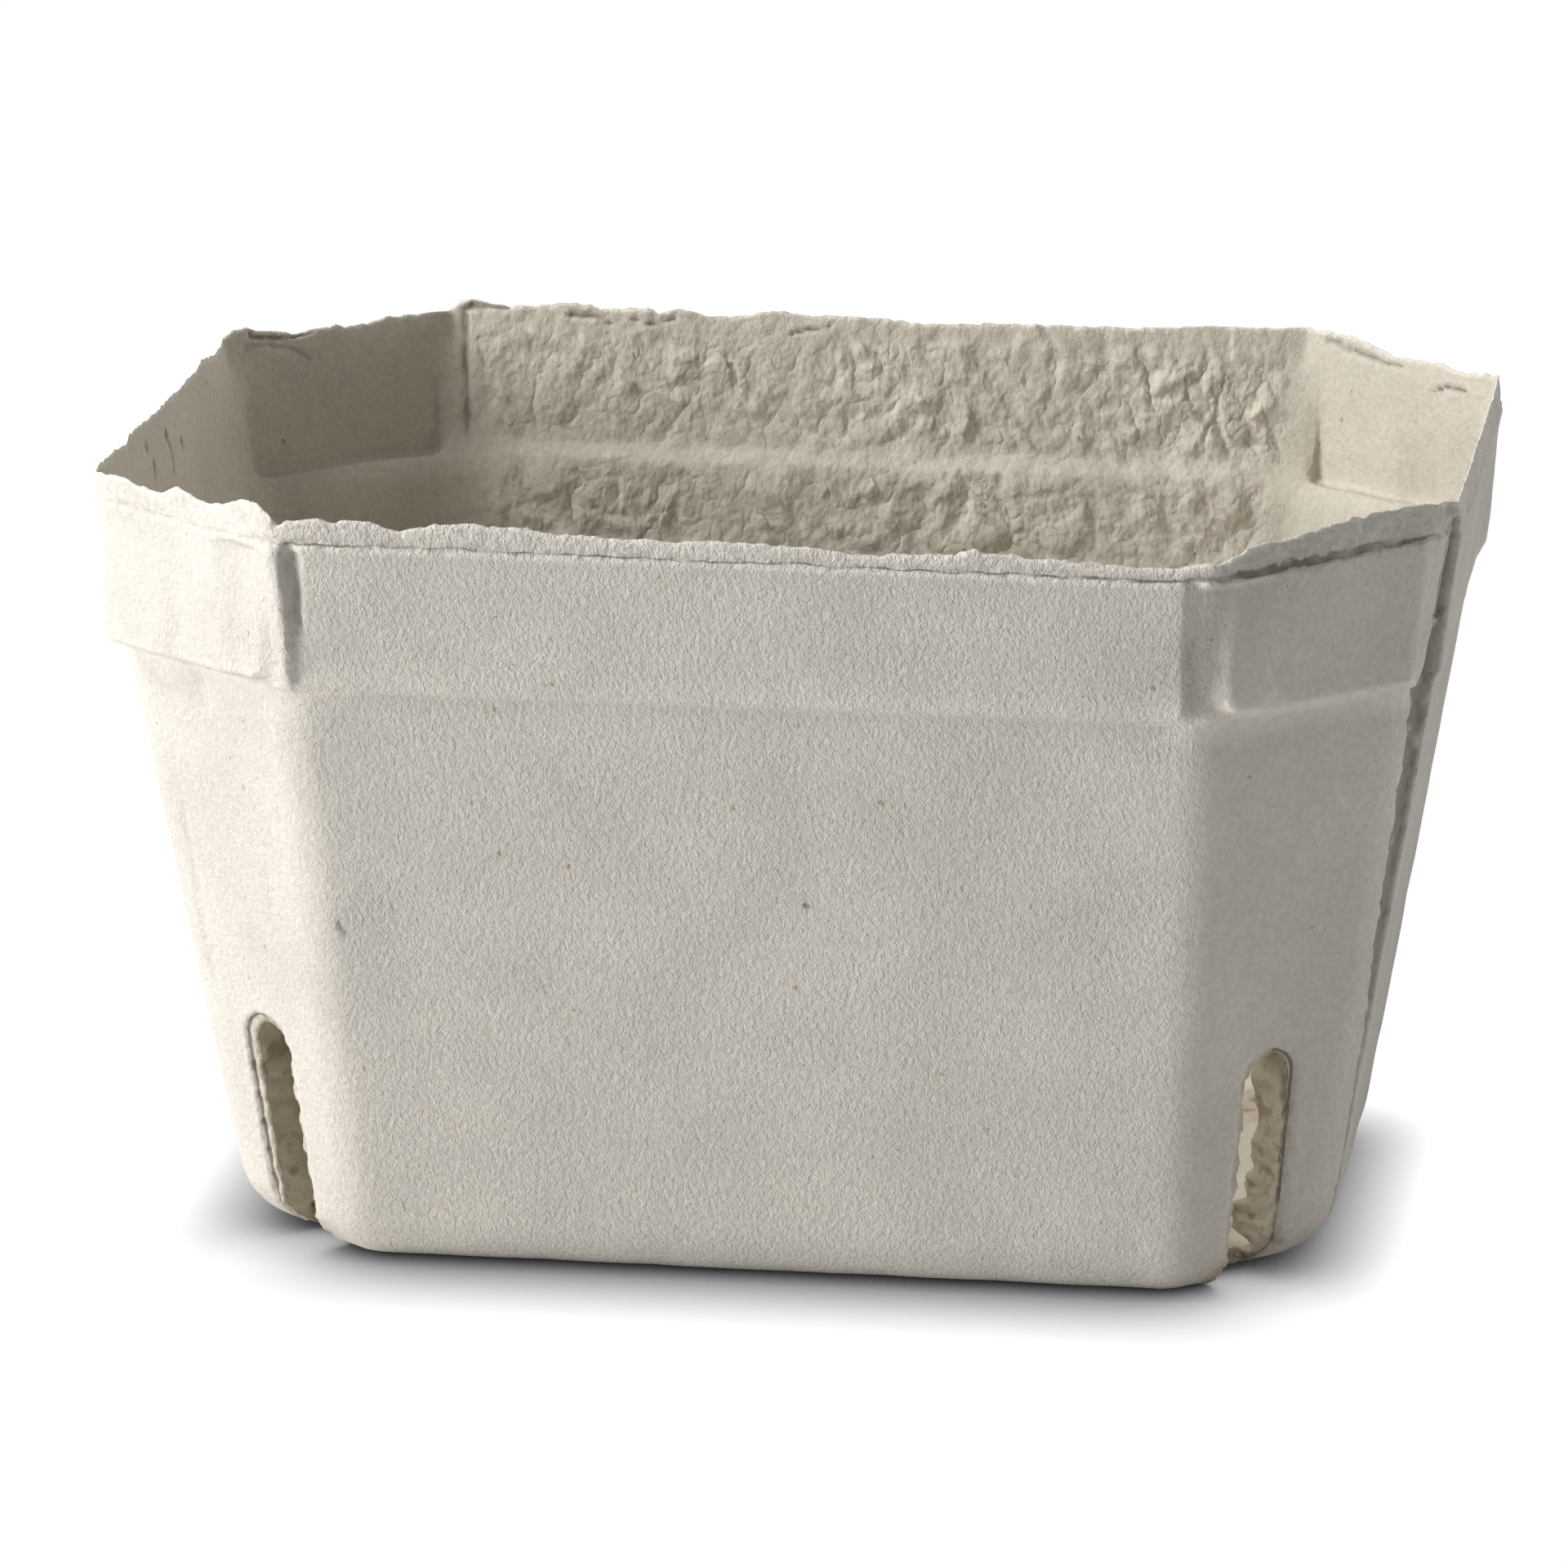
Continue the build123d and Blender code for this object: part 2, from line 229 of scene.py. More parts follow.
# Cracks: side, half width, depth, how dark the shade painted in them is, and the points that they run through, in
# millimetres
CRACKS = (
    ("inner", 0.45, 0.9, 0.9, ((-89.0, -9.0, 101.5), (-88.8, -10.0, 99.8))),
    ("inner", 0.40, 0.8, 0.8, ((-89.2, -0.3, 102.9), (-88.9, 0.7, 100.6), (-88.8, 1.0, 99.7), (-88.5, 0.2, 97.6))),
    ("inner", 0.40, 0.8, 0.8, ((-89.0, 7.0, 100.9), (-88.7, 7.6, 99.2))),
    ("inner", 0.70, 1.0, 0.9, ((-89.5, -11.9, 104.3), (-89.4, -11.6, 103.8))),
    ("inner", 0.70, 1.0, 0.9, ((-89.3, -0.5, 103.3), (-89.3, -0.3, 102.8))),
    ("inner", 0.35, 0.7, 0.8, ((-86.6, 41.7, 107.0), (-84.7, 43.1, 106.6), (-82.3, 45.0, 106.5), (-80.2, 46.8, 106.6),
                               (-78.2, 48.4, 106.8))),
    ("inner", 0.45, 0.3, 0.3, ((-87.3, 40.8, 105.5), (-85.2, 42.6, 105.7), (-83.2, 44.1, 105.3), (-81.6, 45.4, 104.7),
                               (-79.4, 47.1, 103.2))),
    ("inner", 0.28, 0.6, 0.7, ((-44.4, 61.8, 106.6), (-40.8, 61.8, 106.7), (-38.2, 61.8, 106.4), (-37.1, 61.8, 106.6))),
    ("inner", 0.28, 0.6, 0.7, ((-35.1, 61.8, 106.7), (-32.1, 61.8, 106.3), (-29.2, 61.8, 106.8))),
    ("inner", 0.28, 0.6, 0.7, ((-12.2, 61.6, 105.4), (-10.0, 61.7, 106.1), (-6.5, 61.8, 106.7), (-6.3, 61.9, 107.1))),
    ("inner", 0.40, 0.6, 0.7, ((-59.6, 61.8, 107.0), (-58.6, 61.9, 107.5), (-53.3, 62.0, 107.7))),
    ("inner", 0.60, 0.5, 0.5, ((-59.4, 61.6, 106.4), (-59.2, 60.6, 98.0), (-58.9, 59.3, 89.5))),
    ("inner", 0.28, 0.7, 0.8, ((64.5, 59.3, 106.6), (67.6, 56.8, 106.4), (71.3, 53.8, 106.1), (75.6, 50.3, 106.1))),
    ("inner", 0.28, 0.7, 0.8, ((80.5, 46.2, 103.8), (82.9, 44.3, 104.9), (85.4, 42.3, 104.6))),
    ("inner", 0.55, 1.0, 0.8, ((88.3, -36.5, 106.8), (88.2, -36.0, 104.8))),
    ("outer", 1.10, 0.22, 0.0, ((-79.2, -40.3, 63.6), (-77.5, -38.5, 48.9), (-75.9, -37.2, 36.9))),
    ("outer", 0.90, 0.20, 0.0, ((-65.9, -49.4, 56.6), (-65.1, -48.8, 50.5))),
    ("outer", 0.40, 0.35, 0.55, ((-55.4, -53.9, 51.4), (-55.2, -53.9, 50.6), (-54.6, -53.8, 49.6))),
    ("outer", 0.45, 0.25, 0.8, ((7.3, -54.9, 56.5), (7.8, -54.9, 56.3))),
)
# Dents of this one tub: how far the feet of two pads stand out and the near right pad leans in, how far the underside
# beyond each vent curls up, and how much taller the near right vent is
PAD_BULGE = 0.0012
PAD_LEAN = 0.0011
CURL = 0.0014
NEAR_RIGHT_CURL = 0.0034
VENT_STRETCH = 0.0018
# The flute of the near right corner: how far its middle is outside the end wall and behind the corner, its radius by
# height, and the narrow slit that carries it on upwards
FLUTE_STAND_OFF = 0.0008
FLUTE_OFFSET = 0.0034
FLUTE_RADIUS = ((0.015, 0.0011), (0.0845, 0.0027), (0.088, 0.0016), (0.096, 0.0004))
SLIT_OFFSET = 0.0029
SLIT_HALF_WIDTH = 0.0006
# The pressed near right corner, by height: how far it reaches round into the end wall, and its depth, in millimetres
PRESSED_REACH = ((0.015, 1.2), (0.0845, 3.4), (0.090, 2.9), (0.110, 2.2))
PRESSED_DEPTH = ((0.010, 0.0), (0.040, 0.6), (0.0845, 1.5), (0.110, 1.7))
# The soft lamps: name, place, and the setting that holds the power. All face the middle of the tub.
LAMPS = (
    ("high", (-1.0928, -0.2928, 1.1914), "high_power"),
    ("low", (-1.3722, -0.7922, 0.2827), "low_power"),
    ("back", (1.4007, 0.6531, 0.4741), "back_power"),
)
LAMP_SIZE = 0.7
LAMP_TARGET = (0.0, 0.0, 0.06)
MILLIMETRE = 0.001
TO_MILLIMETRES = 1000


def noise(points, cell, seed):
    """Smooth noise, about -1 to 1, with bumps about one cell across. A cell is one size or one for each axis."""
    random = np.random.default_rng(seed)
    table = random.permutation(256)
    slopes = random.normal(size=(256, 3))
    slopes = (slopes / np.linalg.norm(slopes, axis=1)[:, None]).astype(np.float32)
    place = points / np.asarray(cell, float)
    base = np.floor(place).astype(np.int64)
    part = (place - base).astype(np.float32)
    fade = part * part * part * (part * (part * 6 - 15) + 10)
    total = np.zeros(len(points), np.float32)
    for corner in product((0, 1), repeat=3):
        at = base + corner
        index = table[(table[(table[at[:, 0] & 255] + at[:, 1]) & 255] + at[:, 2]) & 255]
        weight = np.prod(np.where(corner, fade, 1 - fade), axis=1)
        total += weight * ((part - corner) * slopes[index]).sum(axis=1)
    return total * 1.6


def clouds(points, cell, octaves, seed):
    """Noise with finer and weaker noise added to it."""
    total = 0
    for octave in range(octaves):
        total = total + noise(points, np.asarray(cell, float) / 2 ** octave, seed + octave) / 2 ** octave
    return total


def lumps(points, cell, octaves, seed):
    """Rounded lumps, from 0 to about 1, with narrow creases between them."""
    total = 0
    for octave in range(octaves):
        fine = noise(points, np.asarray(cell, float) / 2 ** octave, seed + octave)
        total = total + np.abs(fine) / 2 ** octave
    return total


def step(low, high, values):
    """A soft step from 0 to 1 as the values go from low to high."""
    share = np.clip((values - low) / (high - low), 0, 1)
    return share * share * (3 - 2 * share)


def value_at(table, places):
    """A value that runs evenly between the places of a table."""
    marks, values = zip(*table)
    return np.interp(places, marks, values)


def along_rim(table, angles):
    """A length in metres, from a table of millimetres that goes round the rim by angle."""
    return value_at(table, angles) * MILLIMETRE


def line_gap(points, line):
    """How far each point is from a line of straight runs."""
    gap = np.full(len(points), np.inf)
    for first, last in zip(line, line[1:]):
        run = last - first
        share = np.clip((points - first) @ run / (run @ run), 0, 1)
        gap = np.minimum(gap, np.linalg.norm(points - first - share[:, None] * run, axis=1))
    return gap


def where_needed(share, make):
    """Works values out only for the points where they have a share, and gives the values times the share."""
    found = share > 0.001
    total = np.zeros(len(share))
    total[found] = share[found] * make(found)
    return total


def mesh_arrays(mesh):
    """The places and normals of a mesh's points."""
    points = np.empty(len(mesh.vertices) * 3, np.float32)
    normals = np.empty(len(mesh.vertices) * 3, np.float32)
    mesh.vertices.foreach_get("co", points)
    mesh.vertex_normals.foreach_get("vector", normals)
    return points.reshape(-1, 3).astype(float), normals.reshape(-1, 3).astype(float)


class Zones:
    """Where each point of the tub is: on which wall, on which side of it, and how high."""

    def __init__(self, points, normals, sizes):
        # The walls: how deep each point lies inside the end wall, the side wall and the cut corner
        across = np.abs(points)
        self.height = points[:, 2]
        moved = (sizes.rim_height - self.height) * np.tan(sizes.draft)
        slope = sizes.cut_slope_share
        diagonal = np.hypot(1, slope)
        half_length = sizes.rim_length / 2 - moved
        half_width = sizes.rim_width / 2 - moved
        end = half_length - across[:, 0]
        side = half_width - across[:, 1]
        reach = (sizes.rim_length / 2 * slope + sizes.rim_width / 2 - sizes.corner_cut * slope) / diagonal - moved
        cut = reach - (across[:, 0] * slope + across[:, 1]) / diagonal
        depth = np.stack([end, side, cut, self.height], axis=1)
        nearest = depth.argmin(axis=1)
        signs = np.where(points < 0, -1.0, 1.0)
        outwards = np.zeros_like(points)
        outwards[nearest == 0, 0] = signs[nearest == 0, 0]
        outwards[nearest == 1, 1] = signs[nearest == 1, 1]
        outwards[nearest == 2, 0] = signs[nearest == 2, 0] * slope / diagonal
        outwards[nearest == 2, 1] = signs[nearest == 2, 1] / diagonal
        outwards[nearest == 3, 2] = -1.0
        self.outwards = outwards
        facing = (normals * outwards).sum(axis=1)
        self.depth = depth[:, :3].min(axis=1)
        self.angle = np.degrees(np.arctan2(points[:, 1], points[:, 0]))
        self.outer = step(-0.25, 0.35, facing)
        self.inner = 1 - self.outer
        self.flat = step(0.0, 0.004, cut - np.minimum(end, side))
        self.long_side = step(-0.003, 0.006, end - side) * self.flat

        # The pads of the cut corners and the band between them
        corner_x = (reach * diagonal - half_width) / slope
        corner_y = reach * diagonal - half_length * slope
        right = points[:, 0] > 0
        near = points[:, 1] < 0
        near_right = right & near
        upper = step(0.0835, 0.0870, self.height) * (1 - step(0.1035, 0.1050, self.height))
        self.long_band = upper * (side < 0.006) * self.outer
        self.beside = across[:, 0] - corner_x
        self.right_pad = near_right
        foot = step(0.078, 0.0865, self.height) * (1 - step(0.088, 0.104, self.height))
        cut_side = step(-0.010, 0.004, np.minimum(end, side) - cut)
        end_corner = cut_side * step(-0.004, 0.002, side - end)
        self.bulge = foot * end_corner * np.where(right != near, signs[:, 0] * PAD_BULGE, 0)
        self.lean = foot * cut_side * np.where(near_right, -PAD_LEAN, 0)
        self.cut_way = np.stack([signs[:, 0] * slope, signs[:, 1], np.zeros(len(points))], axis=1) / diagonal

        # The near right corner, with its flute and slit
        behind_corner = across[:, 1] - corner_y
        self.step_place = behind_corner
        self.near_right_end = near_right * (1 - step(0.003, 0.020, end))
        flute_gap = np.hypot(across[:, 0] - half_length - FLUTE_STAND_OFF, behind_corner + FLUTE_OFFSET)
        self.flute = flute_gap / value_at(FLUTE_RADIUS, self.height)
        self.flute_side = (near_right & (facing > -0.35) & (end < 0.005)).astype(float)
        self.slit = np.abs(behind_corner + SLIT_OFFSET) / SLIT_HALF_WIDTH
        self.slit_share = self.flute_side * step(0.0925, 0.094, self.height)
        self.slit_share *= 1 - step(0.1065, 0.1080, self.height)

        # The vents, with their frames and collars, and the underside beyond them
        along = (across[:, 0] - across[:, 1] * slope) / diagonal
        middle = (corner_x + half_length - (half_width + corner_y) * slope) / 2 / diagonal
        aside = np.abs(along - middle)
        self.end_side = step(-0.0015, 0.0005, along - middle)
        self.curl = np.clip(1 - self.height / 0.020, 0, 1) ** 2 * (1 - step(-0.001, 0.014, cut))
        self.curl *= step(-0.0030, 0.0005, along - middle) * np.where(near_right, NEAR_RIGHT_CURL, CURL)
        self.vent = (1 - step(0.0035, 0.0075, aside)) * (1 - step(sizes.vent_top, sizes.vent_top + 0.004, self.height))
        self.vent *= 1 - step(0.010, 0.016, cut)
        rise = np.maximum(self.height - (sizes.vent_top - sizes.vent_width / 2), 0)
        self.frame = np.hypot(aside, rise) - sizes.vent_width / 2
        taller = step(0.018, 0.031, self.height) * (1 - step(0.034, 0.046, self.height))
        self.stretch = taller * (1 - step(0.005, 0.011, aside)) * (near_right & (cut < 0.013)) * VENT_STRETCH
        self.line_gap = self.frame - np.where(right, 0.0002, 0.0009)
        self.collar = np.clip(cut - 0.0022, 0, 0.006) * (self.frame < 0.0030) * (self.height < sizes.vent_top + 0.004)
        self.collar = self.collar * step(0.003, 0.006, self.height) * (0.35 + 0.65 * self.end_side)


def inner_corners(mesh, sizes):
    """The points inside the tub that lie round the pads of the cut corners."""
    points, normals = mesh_arrays(mesh)
    zones = Zones(points, normals, sizes)
    band = (zones.height > 0.074) & (zones.height < 0.103)
    return np.flatnonzero(band & (zones.inner > 0.5) & (zones.beside > -0.009) & (zones.depth > 0.0004))


def tear_rim(points, zones, sizes, surface):
    """Gives the rim its torn outline and its rise and fall, and returns how far each point is below the torn edge."""
    rim = sizes.rim_height
    sink = along_rim(RIM_LINE, zones.angle)
    tall = rim + along_rim(TORN_EDGE, zones.angle)
    above = points[:, 2] > rim
    count = 900
    place = np.clip(((zones.angle + 180) / 360 * count).astype(int), 0, count - 1)
    top = np.full(count, rim + 0.001)
    np.maximum.at(top, place[above], points[above, 2])
    spread = np.concatenate([top[-4:], top, top[:4]])
    top = np.convolve(spread, np.ones(5) / 5, "same")[4:-4]
    share = np.clip((points[:, 2] - rim) / (top[place] - rim), 0, 1.2)
    level = np.stack([points[:, 0], points[:, 1], np.zeros(len(points))], axis=1)
    fray = np.zeros(len(points))
    rough = 0.75 + 0.9 * noise(level[above], 0.014, surface.seed + 72)
    fray[above] = clouds(level[above], surface.fray_cell, 3, surface.seed + 70) * surface.fray_height
    fray[above] *= np.clip(rough, 0.2, 1.5)
    nick = noise(level[above], 0.0042, surface.seed + 75)
    fray[above] -= 0.0006 * step(0.5, 0.8, nick)
    middle = sizes.rim_strip_middle
    thin = np.where(above, (zones.depth - middle) * 0.72 * np.clip(share, 0, 1) ** 1.5, 0)
    points[:, :2] += zones.outwards[:, :2] * np.clip(thin, -0.0015, 0.0015)[:, None]
    lifted = rim + sink + share * (tall - rim - sink) + fray * share * share
    fade = step(sizes.shoulder_height, rim, points[:, 2])
    points[:, 2] = np.where(above, lifted, points[:, 2] + sink * fade)
    return np.where(above, tall - points[:, 2] + fray, 1.0)


def felt_lumps(points, zones, sizes, surface):
    """How far the lumps of the felted side rise, and how wrinkled each point is."""
    size = surface.felt_cell
    seed = surface.seed

    def felt(found):
        place = points[found]
        bend = np.stack([clouds(place, 0.009, 2, seed + 10 * axis) for axis in range(3)], axis=1)
        place = place + 0.0030 * bend
        place[:, 0] += 0.45 * place[:, 2]
        ridges = lumps(place, np.array((1.0, 1.0, 1.4)) * size, 3, seed + 40)
        swells = clouds(place, 2.2 * size, 2, seed + 45)
        return 1.25 * (ridges - 0.5) + 0.30 * swells

    patch = 0.62 + 0.45 * noise(points, 0.026, seed + 50)
    share = 0.13 + 0.87 * zones.long_side * np.clip(patch, 0.3, 1.1)
    share = share * (1 - 0.65 * step(sizes.rim_height - 0.003, sizes.rim_height + 0.001, zones.height))
    share = share * (1 - 0.6 * np.exp(-((zones.height - sizes.shoulder_height - 0.0036) / 0.0024) ** 2))
    share = np.where(zones.height < 0.012, 0.2, share)
    wrinkled = zones.inner * share
    return np.maximum(surface.felt_height * where_needed(wrinkled, felt), -0.0007), wrinkled


def press_pads(zones, ragged):
    """How far the long walls give way beside the pads, and how much shade is painted in the valleys beside them."""
    beside = (zones.beside + 0.00022 * ragged) * TO_MILLIMETRES
    taper = 0.25 + 0.75 * step(0.0905, 0.1010, zones.height)
    turned = np.cos(np.pi * np.clip((beside + 1.2) / 5.8, 0, 1))
    turned *= np.where(beside < 0, step(-2.0, -1.2, beside), 1 - step(4.6, 9.5, beside))
    narrow = np.exp(-((beside + 2.8 + 0.35 * ragged) / (1.05 * taper)) ** 2) * step(0.0905, 0.0950, zones.height)
    left = 0.9 * turned - 0.5 * narrow
    wide = step(-3.4, -2.4, beside) * (1 - step(1.2, 3.4, beside))
    turned_right = -0.8 * step(0.5, 4.6, beside) * (1 - step(4.6, 9.5, beside))
    sunk = step(-3.3, -1.6, beside) * (1 - step(5.0, 11.0, beside))
    right = -1.0 * sunk + 0.5 * turned_right
    push = MILLIMETRE * zones.long_band * np.where(zones.right_pad, right, left)
    # The second value is painted shade for the valleys beside the pads.
    return push, zones.long_band * np.where(zones.right_pad, 0.8 * wide, narrow)


def sink_cracks(points, zones, ragged, push):
    """Sinks the flute, the slit and the cracks into the push, and returns how much shade is painted on each point in
    them.
    """
    flute = (1 - step(0.85, 1.15, zones.flute + 0.28 * ragged)) * zones.flute_side
    slit = (1 - step(0.5, 1.1, zones.slit + 0.25 * ragged)) * zones.slit_share
    push -= 0.0008 * flute + 0.0013 * slit
    # Painted shade darkens the flute and the slit.
    crack = np.maximum(flute * 0.75, slit)
    for side, width, deep, dark, line in CRACKS:
        line = np.array(line) * MILLIMETRE
        box = ((points > line.min(axis=0) - 0.003) & (points < line.max(axis=0) + 0.003)).all(axis=1)
        box &= (zones.inner if side == "inner" else zones.outer) > 0.5
        gap = line_gap(points[box], line) / (width * MILLIMETRE)
        shape = 1 - step(0.25, 1.15, gap + 0.35 * ragged[box])
        push[box] -= MILLIMETRE * deep * shape
        crack[box] = np.maximum(crack[box], dark * shape)
    return crack


def sink_crease(zones, sizes, ragged, push):
    """Sinks the crease under the torn strip into the push. Returns its place and half width, in millimetres."""
    crease = (zones.height - sizes.rim_height - 0.00035) / MILLIMETRE
    gash = along_rim(CREASE_WIDTH, zones.angle) * TO_MILLIMETRES
    inside = 1 - step(0.7, 1.3, np.abs(crease + 0.25 * ragged) / (gash + 0.12))
    push -= zones.outer * inside * (0.0003 + 0.0012 * np.clip(gash - 0.16, 0, 0.5))
    bead = np.exp(-((crease + 0.9) / 0.45) ** 2) * (1 - step(0.25, 0.4, gash))
    push += 0.00022 * zones.outer * bead
    return crease, gash


def roughen_vents(points, zones, surface, push):
    """Sinks the frame lines of the vents into the push and makes their edges ragged."""
    push -= 0.0004 * zones.outer * zones.vent * zones.end_side * np.exp(-(zones.line_gap / 0.0003) ** 2)
    rough = where_needed(zones.vent * (1 - step(0.0, 0.0028, np.abs(zones.frame - 0.0002))),
                         lambda found: clouds(points[found], 0.0021, 2, surface.seed + 90))
    push += surface.vent_roughness * rough


def grow_collars(points, zones, surface):
    """How far the vents' ragged collars reach further in."""
    inwards = np.stack([-points[:, 0], -points[:, 1], np.zeros(len(points))], axis=1)
    inwards /= np.linalg.norm(inwards, axis=1)[:, None] + 1e-9
    growth = where_needed(
        zones.collar * TO_MILLIMETRES,
        lambda found: 0.9 + noise(points[found] * (0.3, 0.3, 1), 0.005, surface.seed + 95))
    growth *= 1 + 1.3 * (1 - step(0.008, 0.013, zones.height))
    return inwards * (MILLIMETRE * surface.collar_growth * growth)[:, None]


def press_corner(zones, ragged):
    """How far the near right corner is pressed in along the length, with a ragged step where that ends."""
    place = (zones.step_place + 0.00035 * ragged) * TO_MILLIMETRES
    reach = value_at(PRESSED_REACH, zones.height)
    pressed = step(-reach - 0.7, -reach + 0.7, place) * zones.near_right_end
    return MILLIMETRE * (pressed * value_at(PRESSED_DEPTH, zones.height))


def lit_ledge(zones, normals, sizes):
    """Where a highlight is painted on the foot of the band, as if it caught the light: the undersides of the pads and a
    line along the walls.
    """
    downwards = step(0.05, 0.35, -normals[:, 2]) * step(0.080, 0.083, zones.height) * (zones.height < 0.089)
    line = np.exp(-((zones.height - sizes.shoulder_height - 0.0004) / 0.0006) ** 2)
    return zones.outer * np.where(zones.flat > 0.9, 0.55 * line, downwards)


def press_pulp(mesh, sizes, surface):
    """Presses the tub's surface inside its own box, and returns how far each point's detail is to be kept."""
    points, normals = mesh_arrays(mesh)
    zones = Zones(points, normals, sizes)
    push, wrinkled = felt_lumps(points, zones, sizes, surface)
    calm = 0.45 + 0.55 * zones.flat
    push += surface.cloud_height * where_needed(
        zones.outer * calm, lambda found: clouds(points[found], surface.cloud_cell, 3, surface.seed + 60))
    ragged = noise(points, 0.0026, surface.seed + 85) + 0.5 * noise(points, 0.0012, surface.seed + 86)
    give, valley = press_pads(zones, ragged)
    push += give
    crack = sink_cracks(points, zones, ragged, push)
    crease, gash = sink_crease(zones, sizes, ragged, push)
    roughen_vents(points, zones, surface, push)
    points = points + normals * push[:, None] + grow_collars(points, zones, surface)
    points[:, 0] -= press_corner(zones, ragged)
    points += zones.cut_way * zones.lean[:, None]
    points[:, 0] += zones.bulge
    points[:, 2] += zones.curl + zones.stretch
    below = tear_rim(points, zones, sizes, surface)
    low, high = CAD_BOX
    margin = 0.00002
    points = np.clip(points, np.array(low) + margin, np.array(high) - margin)
    points[:, 2] = np.maximum(points[:, 2], low[2])
    mesh.vertices.foreach_set("co", points.astype(np.float32).ravel())
    mesh.update()
    marks = {
        "felt": zones.inner,
        "wrinkles": wrinkled,
        # Painted shade in the valleys beside the pads.
        "valley": valley,
        # Painted highlight along the foot of the band.
        "ledge": lit_ledge(zones, normals, sizes),
        "crack": np.clip(crack, 0, 1),
        "crease": np.clip(crease, -3, 3),
        "gash": gash * step(0.2, 0.7, zones.outer),
        "below": np.clip(below * TO_MILLIMETRES, -1, 9),
        # Where the vents' insides are painted darker: partly their own brown, partly painted shade.
        "vent": zones.vent * (zones.frame < 0.0024) * step(0.0002, 0.0009, zones.depth),
        "frame": np.clip(zones.line_gap * TO_MILLIMETRES, -4, 4) + 5 * (1 - zones.end_side * zones.outer),
        "grain": zones.outer * (0.3 + 0.7 * zones.flat),
    }
    for name, values in marks.items():
        mark = mesh.attributes.new(name, "FLOAT", "POINT")
        mark.data.foreach_set("value", values.astype(np.float32))
    keep = np.maximum(step(0.2, 0.6, crack), (zones.height > sizes.rim_height - 0.0006) * 1.0)
    return np.maximum(keep, (zones.vent > 0.3) * (np.abs(zones.frame) < 0.0022) * 1.0)


def node(tree, kind, place, **settings):
    """Adds a node to a tree, with its settings and input values."""
    added = tree.nodes.new(kind)
    added.location = place
    for name, value in settings.items():
        if name in added.inputs:
            added.inputs[name].default_value = value
        else:
            setattr(added, name, value)
    return added


def ramp(tree, place, value, low, high, dark=0.0, light=1.0):
    """Maps a value between two levels to a range, clamped."""
    mapped = node(tree, "ShaderNodeMapRange", place)
    mapped.inputs["From Min"].default_value = low
    mapped.inputs["From Max"].default_value = high
    mapped.inputs["To Min"].default_value = dark
    mapped.inputs["To Max"].default_value = light
    tree.links.new(value, mapped.inputs["Value"])
    return mapped.outputs["Result"]


def mix(tree, place, kind, factor, first, second):
    """Mixes two colours. Each may be a socket or a plain colour, and the factor a socket or a number."""
    mixer = node(tree, "ShaderNodeMix", place, data_type="RGBA", blend_type=kind)
    for socket, value in ((mixer.inputs[0], factor), (mixer.inputs[6], first), (mixer.inputs[7], second)):
        if hasattr(value, "is_linked"):
            tree.links.new(value, socket)
        elif hasattr(value, "__len__"):
            socket.default_value = (*value[:3], 1.0)
        else:
            socket.default_value = value
    return mixer.outputs[2]


def pattern(tree, place, scale, detail, stretch=(1, 1, 1), turn=(0, 0, 0), roughness=0.5):
    """Noise on object coordinates, in waves to the metre, stretched and turned."""
    where = node(tree, "ShaderNodeTexCoord", (place[0] - 400, place[1]))
    mapping = node(tree, "ShaderNodeMapping", (place[0] - 200, place[1]))
    mapping.inputs["Scale"].default_value = stretch
    mapping.inputs["Rotation"].default_value = turn
    tree.links.new(where.outputs["Object"], mapping.inputs["Vector"])
    pulp = node(tree, "ShaderNodeTexNoise", place)
    pulp.inputs["Scale"].default_value = scale
    pulp.inputs["Detail"].default_value = detail
    pulp.inputs["Roughness"].default_value = roughness
    tree.links.new(mapping.outputs["Vector"], pulp.inputs["Vector"])
    return pulp.outputs["Fac"]


def attribute(tree, place, name):
    """One of the finished mesh's own attributes."""
    return node(tree, "ShaderNodeAttribute", place, attribute_name=name).outputs["Fac"]


def maths(tree, place, operation, first, second=None):
    """A sum on sockets or numbers."""
    worker = node(tree, "ShaderNodeMath", place, operation=operation)
    for socket, value in zip(worker.inputs, (first, second)):
        if hasattr(value, "is_linked"):
            tree.links.new(value, socket)
        elif value is not None:
            socket.default_value = value
    return worker.outputs[0]


def body_colour(tree, colours, felt):
    """The pulp's own colour on its two sides, with cloudy patches, a fine mottle, stains and brown specks."""
    colour = mix(tree, (-1400, 500), "MIX", felt, colours.smooth_side, colours.felt_side)
    patches = ramp(tree, (-1600, 300), pattern(tree, (-1800, 300), 60, 3), 0.35, 0.65, 0.955, 1.04)
    colour = mix(tree, (-1200, 500), "MULTIPLY", 1.0, colour, patches)
    mottle = ramp(tree, (-1600, 100), pattern(tree, (-1800, 100), 1100, 3), 0.3, 0.7, 0.925, 1.065)
    colour = mix(tree, (-1000, 500), "MULTIPLY", 1.0, colour, mottle)
    stain = ramp(tree, (-1600, -100), pattern(tree, (-1800, -100), 170, 2), 0.66, 0.76, 0.0, 0.35)
    stain = maths(tree, (-1400, -100), "MULTIPLY", stain, felt)
    colour = mix(tree, (-800, 500), "MIX", stain, colour, colours.vent_side)
    specks = ramp(tree, (-1600, -300), pattern(tree, (-1800, -300), 620, 1), 0.775, 0.80, 0.0, 0.5)
    return mix(tree, (-600, 500), "MIX", specks, colour, colours.brown)


